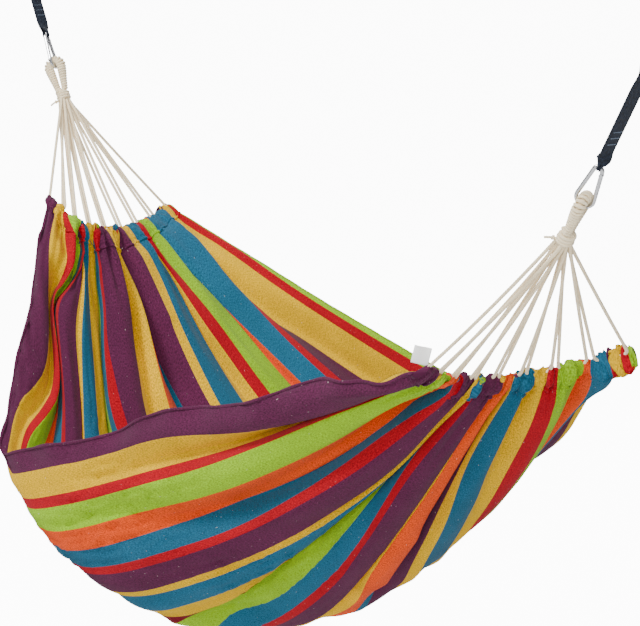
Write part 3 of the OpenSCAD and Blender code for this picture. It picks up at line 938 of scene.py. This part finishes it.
near_edge = make_edge("near_side_roll", 0, 0.0042)
far_edge = make_edge("far_side_roll", COLUMNS, 0.0028)
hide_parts("near_selvedge")
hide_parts("far_selvedge")
print("side rolls", near_edge.name, far_edge.name)


# %% [markdown]
# The care label is a square of tape, sewn in by one edge, so it leans and curls a little. It is a small
# sheet with nothing on it.

# %% Care label
LABEL, LABEL_TURN = 0.034, math.radians(48)


def make_label():
    """A blank tape label at the CAD label's place."""
    x, y = np.meshgrid(np.linspace(-0.5, 0.5, 15), np.linspace(-0.5, 0.5, 15), indexing="ij")
    low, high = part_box("care_label")
    centre = (np.array(low) + np.array(high)) / 2
    c, s = math.cos(LABEL_TURN), math.sin(LABEL_TURN)
    wide, tall = x * LABEL, y * LABEL
    wide, tall = wide * 0.97 + tall * 0.2, tall * 0.97 - wide * 0.2 - 0.005
    curl = 0.007 * (y + 0.5)**2 + 0.002 * np.sin(5 * x) * (0.5 + y)
    points = centre + np.stack([c * wide - s * curl, s * wide + c * curl, tall], -1)
    return thick_sheet("blank_care_label", points, 0.0006, label_tape, x[:, 0] * LABEL, y[0] * LABEL)[0]


label = make_label()
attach(label, "hammock")
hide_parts("care_label")

# %% [markdown]
# ## Cords
#
# Eight cords at each end. Each one runs down from the rope eye, along its own length of the hem's
# channel, and back up, so sixteen legs meet in the binding. They are three-strand twisted cotton, 6.5 mm
# thick. The twist is real shape: three lobes that turn once in every 19 mm.

# %% Cord loops
BUNDLE_ROWS = {LEFT: [3, 0, 2, 1], RIGHT: [0, 3, 1, 2]}


def leg_start(side, i, height):
    """Leg i's place in the bundle, height metres up inside the binding, where it is tighter."""
    tight = 1 - 0.25 * ease(height / 0.02)
    return on_pull(side, [(BUNDLE_ROWS[side][i % 4] - 1.5) * 0.0059 * tight,
                          (i - LOOPS + 0.5) * 0.0017 * tight, height])


def leg_end(side, i):
    """Where leg i enters the hem."""
    k = i // 2
    v = k / LOOPS + 0.012 if i % 2 == 0 else (k + 1) / LOOPS - 0.012
    return bend2(LEFT_HEM if side == LEFT else RIGHT_HEM, v) + hang


def hem_depth_direction(side, v):
    """From the hem's cord into the cloth."""
    base = 0.0 if side == LEFT else 1.0
    v = np.array([v])
    down = cloth(base + (0.018 if side == LEFT else -0.018) + 0 * v, v) - cloth(base + 0 * v, v)
    down /= norm(down)
    return (drop_corner(down, v) if side == RIGHT else down)[0]


def hem_turn(run_from, corner, leg_to, down):
    """Where the cord turns from its run in the hem to its leg, in an easy bend and never a hairpin."""
    run = (corner - run_from) / norm(corner - run_from)
    leg = (leg_to - corner) / norm(leg_to - corner)
    hairpin = ease((-run @ leg - 0.45) / 0.4)
    aside = -down + (down @ run) * run
    aside = 0.015 * hairpin * aside / norm(aside)
    start, finish = corner - 0.015 * run, corner + 0.020 * leg + aside
    a, b = corner + (0.010 * hairpin - 0.003) * run, corner + 0.003 * leg + aside + 0.010 * hairpin * run
    return [(1 - t)**3 * start + 3 * t * (1 - t)**2 * a + 3 * t * t * (1 - t) * b + t**3 * finish
            for t in np.linspace(0, 1, 12)]


def slack_leg(a, b, slack):
    """Five points down a leg, hanging a little below the straight line."""
    return [a + (b - a) * t + np.array([0, 0, -4 * slack * t * (1 - t)])
            for t in (0.12, 0.3, 0.5, 0.7, 0.86)]


print("legs at each end", 2 * LOOPS)


# %% Cords, each with its length
def cord_line(side, k):
    """Every ring's centre for cord k: down a leg, along the hem and up the next leg."""
    a, b = leg_start(side, 2 * k, 0), leg_start(side, 2 * k + 1, 0)
    down_p = hem_depth_direction(side, k / LOOPS + 0.012)
    down_q = hem_depth_direction(side, (k + 1) / LOOPS - 0.012)
    p, q = leg_end(side, 2 * k) + 0.0045 * down_p, leg_end(side, 2 * k + 1) + 0.0045 * down_q
    slack = rng.uniform(-0.003, 0.008)
    turn_in, turn_out = hem_turn(q, p, a, down_p)[::-1], hem_turn(p, q, b, down_q)
    points = ([leg_start(side, 2 * k, 0.016), a] + slack_leg(a, turn_in[0], slack) + turn_in + turn_out
              + slack_leg(b, turn_out[-1], slack)[::-1] + [b, leg_start(side, 2 * k + 1, 0.016)])
    points = np.array(points)
    run = run_along(points)
    line = sampled(np.linspace(0, run[-1], int(run[-1] / 0.0022)), run, points)
    for _ in range(24):
        line[1:-1] = 0.25 * line[:-2] + 0.5 * line[1:-1] + 0.25 * line[2:]
    return line


for side in (LEFT, RIGHT):
    for k in range(LOOPS):
        line = cord_line(side, k)
        name = f"{SIDES[side]}_twisted_cord_{k + 1}"
        piece = sweep(name, line, Strands(0.00365, 3, 0.019, 0.20, 12), cotton_cord)
        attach(piece, "hammock")
        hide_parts(f"{SIDES[side]}_cord_{k + 1}")
        length = float(run_along(line)[-1])
        print(name, "length", round(length, 3))

# %% [markdown]
# ## Rope eyes and bindings
#
# The gathered cords turn back on themselves to make an eye, and a thinner cord is wound tightly over the
# eye and then over the throat where its two legs join. Winding is a helix round the eye's own line, so
# that is how it is made: one cord, laid turn against turn. A knotted tail stands out of the binding.

# %% Wound eye
LEG_X, EYE_BEND, WIRE_Z, EYE_FOOT, THROAT_LEN = 0.0085, 0.017, 0.095, 0.0295, 0.028


def eye_line():
    """Up one leg of the eye, round its bow and down the other leg."""
    up = [(LEG_X + (EYE_BEND - LEG_X) * t, EYE_FOOT + (WIRE_Z - EYE_FOOT) * t)
          for t in np.linspace(0, 0.92, 9)]
    bow = [(EYE_BEND * math.cos(a), WIRE_Z + EYE_BEND * math.sin(a))
           for a in np.radians(range(0, 181, 15))]
    return np.array([(x, 0, z) for x, z in up + bow] + [(-x, 0, z) for x, z in up[::-1]])


def wound(line, radius, pitch, turn_r, up, per_turn=26):
    """The centre line of a cord wound round a line, turn against turn."""
    n, b = frames(line, np.array(up, float))
    run = run_along(line)
    at = np.linspace(0, run[-1], int(run[-1] / pitch * per_turn))
    centre, n_at, b_at = (sampled(at, run, x) for x in (line, n, b))
    phase = TAU * at / pitch
    r = radius(at / run[-1]) - turn_r
    return centre + (r * np.cos(phase))[:, None] * n_at + (r * np.sin(phase))[:, None] * b_at


def to_eye(side, points):
    """From the eye's own frame to its place on the line of pull."""
    return on_pull(side, turned(points, TURN[side] - math.pi / 2))


def join_pieces(name, pieces):
    """One piece out of several, under one name."""
    bpy.ops.object.select_all(action="DESELECT")
    for piece in pieces:
        piece.select_set(True)
    bpy.context.view_layer.objects.active = pieces[0]
    bpy.ops.object.join()
    pieces[0].name = name
    pieces[0].select_set(False)
    return pieces[0]


def eye_thickness(share):
    """Thin at the two feet, full round the bow."""
    return 0.0083 + 0.0037 * ease(np.minimum(share, 1 - share) / 0.36)


for side in (LEFT, RIGHT):
    line = spaced(eye_line(), 160)
    turns = wound(line, eye_thickness, 0.0064, 0.0031, (0, 1, 0))
    winding = sweep("winding", to_eye(side, turns), Strands(0.0033, 3, 0.014, 0.16, 10),
                    whipping_cotton)
    core = sweep("core", to_eye(side, line), Strands(0.0058, 3, 0.05, 0.08, 16), cotton_cord)
    eye = join_pieces(SIDES[side] + "_wound_eye", [winding, core])
    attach(eye, "hammock")
    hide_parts(SIDES[side] + "_eye_whipping", SIDES[side] + "_eye_core")
    print(eye.name, len(eye.data.polygons))


# %% Throat binding and its knotted tail
def trefoil(size):
    """The closed line of a simple overhand knot."""
    t = np.linspace(0, TAU, 90)
    x, y = np.sin(t) + 2 * np.sin(2 * t), np.cos(t) - 2 * np.cos(2 * t)
    return size * np.stack([x, y, -1.3 * np.sin(3 * t)], 1)


def upright(low, high, count):
    return np.array([[0, 0, z] for z in np.linspace(low, high, count)])


TAIL = np.array([[-5, 0, 0.5], [0, 0, 0], [4, 0, -0.8], [8, 0.5, -2], [12, 0.2, -3.6], [15, 0, -5.5]])
TAIL_PLACE, TAIL_TURN = np.array([0.017 + 0.0045, 0, 0.006]), math.radians(235)


for side in (LEFT, RIGHT):
    turns = wound(upright(0.0032, THROAT_LEN - 0.002, 30), lambda s: 0.0172 - 0.0006 * np.cos(9 * s),
                  0.0066, 0.0033, (1, 0, 0), 60)
    binding = sweep("binding", to_eye(side, turns), Strands(0.0035, 3, 0.015, 0.16, 12),
                    whipping_cotton)
    bundle = sweep("bundle", to_eye(side, upright(0.003, THROAT_LEN + 0.002, 40)),
                   Strands(0.0128, 9, 0.2, 0.16, 72), cotton_cord)
    throat = join_pieces(SIDES[side] + "_throat_binding", [binding, bundle])
    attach(throat, "hammock")
    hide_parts(SIDES[side] + "_throat_whipping")

    stub = sweep("stub", on_pull(side, turned(spaced(TAIL / 1000, 60) + TAIL_PLACE, TAIL_TURN)),
                 Strands(0.0024, 3, 0.012, 0.2, 12), whipping_cotton)
    knot = sweep("knot", on_pull(side, turned(trefoil(0.00115)[:, [2, 0, 1]] + TAIL_PLACE, TAIL_TURN)),
                 Strands(0.0017, 3, 0.010, 0.2, 10), whipping_cotton)
    tail = join_pieces(SIDES[side] + "_knotted_tail", [stub, knot])
    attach(tail, "hammock")
    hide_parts(SIDES[side] + "_whipping_tail")
    print(throat.name, tail.name)

# %% [markdown]
# ## Straps
#
# Each strap is one loop of dark webbing, sewn into two plies. At the top it opens round the anchor, and
# at the bottom it is bunched round the hook's narrow bow and so is narrow and thick there. It is made as a
# ribbon section carried round the whole loop, which turns as it goes from the anchor's direction to the
# hook's.

# %% Webbing loops
STRAP_W, PLY, BORE_R = 0.022, 0.0024, 0.010
BUNCHED_W, BUNCHED_PLY, TACK_POINTS = 0.0085, 0.0031, 44


def strap_loop(side):
    """The middle, width direction, width and thickness at each station round the closed loop."""
    top_z, low_z = LINK, HOOK_TOP_Z
    ring_r, loop_r = BORE_R + PLY / 2 + 0.0001, ROD_R + 0.0003 + 0.0016
    out = []

    def add(x, z, level):
        """level is 0 at the hook and 1 where the strap is flat."""
        swing = math.radians(90) + (TURN[side] - math.radians(90)) * (1 - ease(level))
        wide = np.array([math.cos(swing), math.sin(swing), 0.0])
        thick = np.array([math.sin(swing), -math.cos(swing), 0.0])
        full = STRAP_W + 0.005 * ease((top_z - 0.035 - z) / 0.03)
        out.append((x * thick + np.array([0, 0, z]), wide,
                    BUNCHED_W + (full - BUNCHED_W) * ease(level * 1.7),
                    BUNCHED_PLY + (PLY - BUNCHED_PLY) * ease(level)))

    flat_z = low_z + 0.040
    up = np.linspace(low_z, flat_z, 24)[:-1]
    body = np.linspace(flat_z, top_z - BORE_R - 0.026, 60)
    neck = np.linspace(top_z - BORE_R - 0.026, top_z - 0.004, 18)[1:]

    def side_x(z):
        return PLY / 2 + (loop_r - PLY / 2) * (1 - ease((z - low_z) / 0.030))

    def ring_x(z):
        return PLY / 2 + (ring_r - PLY / 2) * ease((z - neck[0]) / (neck[-1] - neck[0]))

    for z in up:
        add(side_x(z), z, (z - low_z) / 0.040)
    for z in body:
        add(PLY / 2 + 0.00005, z, 1)
    for z in neck:
        add(ring_x(z), z, 1)
    for a in np.linspace(0, math.pi, 26)[1:-1]:
        add(ring_r * math.cos(a), top_z - 0.004 + (ring_r + 0.001) * math.sin(a), 1)
    for z in neck[::-1]:
        add(-ring_x(z), z, 1)
    for z in body[::-1]:
        add(-PLY / 2 - 0.00005, z, 1)
    for z in up[::-1]:
        add(-side_x(z), z, (z - low_z) / 0.040)
    for a in np.linspace(math.pi, TAU, 16)[1:-1]:
        add(loop_r * math.cos(a), low_z + loop_r * math.sin(a), 0)
    return out


print("strap stations", len(strap_loop(LEFT)))


# %% Webbing and bar tacks
def make_strap(side):
    """The webbing, which bends across the swing between the anchors and the hammock."""
    stations = strap_loop(side)
    centre = np.array([s[0] for s in stations])
    heading = np.roll(centre, -1, 0) - np.roll(centre, 1, 0)
    heading /= norm(heading, axis=1)[:, None]
    wide = np.array([s[1] for s in stations])
    wide -= (wide * heading).sum(1)[:, None] * heading
    wide /= norm(wide, axis=1)[:, None]
    thick = np.cross(heading, wide)
    width = np.array([s[2] for s in stations])
    depth = np.array([s[3] for s in stations])
    share = np.linspace(-1, 1, 26)
    profile = [(x, 0.42 + 0.08 * abs(math.cos(x * 9.4)) if abs(x) < 0.97 else 0.2) for x in share]
    section = profile + [(x, -y) for x, y in profile[::-1]]
    bunch = 1 - ease((width - 0.0075) / (STRAP_W - 0.0075))
    rings = []
    for x, y in section:
        crumple = 0.0011 * bunch * math.sin(6.5 * x + 0.8)
        rings.append(centre + (x * width / 2)[:, None] * wide + (y * depth + crumple)[:, None] * thick)
    points = on_pull(side, np.stack(rings, 1))
    around = [x * STRAP_W / 2 for x in share] + [STRAP_W - x * STRAP_W / 2 for x in share[::-1]]
    faces, uvs = tube_faces(len(stations), len(section), run_along(np.vstack([centre, centre[:1]])),
                            around + around[:1], closed=True)
    strap = add_mesh(SIDES[side] + "_webbing_loop", points.reshape(-1, 3), faces, uvs, webbing)
    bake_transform(strap)
    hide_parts(SIDES[side] + "_anchor_eye", SIDES[side] + "_strap")
    return strap


def make_tacks(side):
    """Three bar tacks on each face, each one a dense zigzag of thread."""
    pieces = []
    for z in (0, 1, 2):
        for face in (-1, 1):
            y = np.linspace(-0.0085, 0.0085, TACK_POINTS)
            rise = np.where(np.arange(TACK_POINTS) % 2, 0.0011, -0.0011)
            out = np.full(TACK_POINTS, face * (PLY + 0.00015))
            line = on_pull(side, np.stack([out, y, HOOK_TOP_Z + 0.055 + 0.014 * z + rise], 1))
            pieces.append(sweep("tack", line, Strands(0.00032, 2, 0.001, 0.1, 6), thread))
    tacks = join_pieces(SIDES[side] + "_bar_tacks", pieces)
    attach(tacks, "hammock")
    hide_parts(SIDES[side] + "_strap_stitching")
    return tacks


for side in (LEFT, RIGHT):
    print(make_strap(side).name, make_tacks(side).name)

# %% [markdown]
# ## Hooks
#
# The snap hooks are hard parts and the CAD shapes are right, so they stay and only get their finish:
# bright zinc plate on the rod, gate and pin, and a duller spring wire.

# %% Metal finishes
for side in SIDES.values():
    for part, finish in (("hook", steel), ("gate", steel), ("gate_pin", steel), ("gate_plunger", steel),
                         ("gate_spring", spring_steel)):
        for material_slot in nodes[f"{side}_{part}"].material_slots:
            material_slot.material = finish
print("hooks finished")
